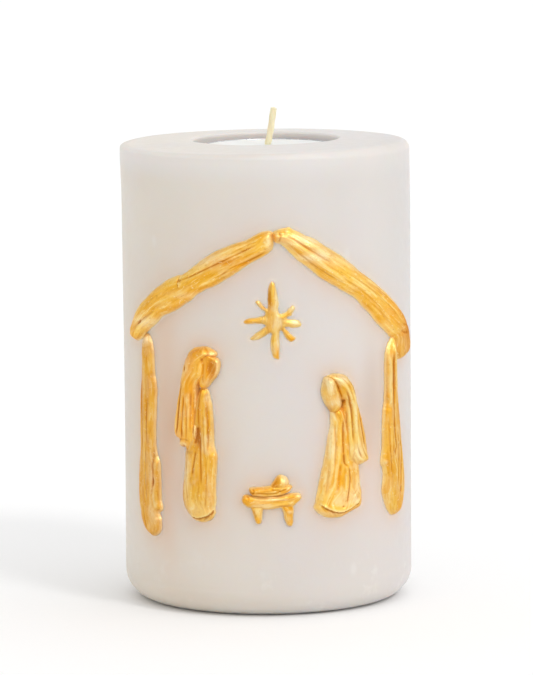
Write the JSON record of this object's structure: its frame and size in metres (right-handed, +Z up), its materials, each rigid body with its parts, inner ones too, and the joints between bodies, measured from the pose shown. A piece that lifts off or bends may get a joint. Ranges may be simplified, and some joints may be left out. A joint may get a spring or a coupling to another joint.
{
  "type": "pillar candle",
  "caption": "Off-white wax pillar candle with a gold-painted Nativity relief on its front and a loose tealight in a well in its top.",
  "frame": {"origin": "centre of the pillar's flat base", "axes": "+Z up the pillar's axis, the relief faces -Y, +X to the right of someone who faces the relief"},
  "size_m": [0.08, 0.0826, 0.1371],
  "materials": {
    "pillar_wax": "satin",
    "gold_paint": "satin",
    "cup_foil": "satin",
    "tealight_wax": "satin",
    "wick_cord": "matte",
    "sustainer_steel": "satin"
  },
  "bodies": {
    "pillar": {"pillar_body": "pillar_wax", "roof_beam_left": "gold_paint", "roof_beam_right": "gold_paint", "post_left": "gold_paint", "post_right": "gold_paint", "star": "gold_paint", "left_figure_robe": "gold_paint", "left_figure_mantle": "gold_paint", "left_figure_head": "gold_paint", "right_figure_robe": "gold_paint", "right_figure_veil": "gold_paint", "right_figure_head": "gold_paint", "manger_trough": "gold_paint", "manger_leg_left": "gold_paint", "manger_leg_right": "gold_paint", "infant_body": "gold_paint", "infant_head": "gold_paint"},
    "tealight": {"tealight_cup": "cup_foil"},
    "wax_charge": {"tealight_wax": "tealight_wax", "wick": "wick_cord", "wick_sustainer": "sustainer_steel"}
  },
  "joints": [
    {"name": "tealight_lift", "type": "slide", "parent": "pillar", "child": "tealight", "axis": [0, 0, 1], "range_m": [0, 0.035]},
    {"name": "wax_lift", "type": "slide", "parent": "tealight", "child": "wax_charge", "axis": [0, 0, 1], "range_m": [0, 0.022]}
  ]
}
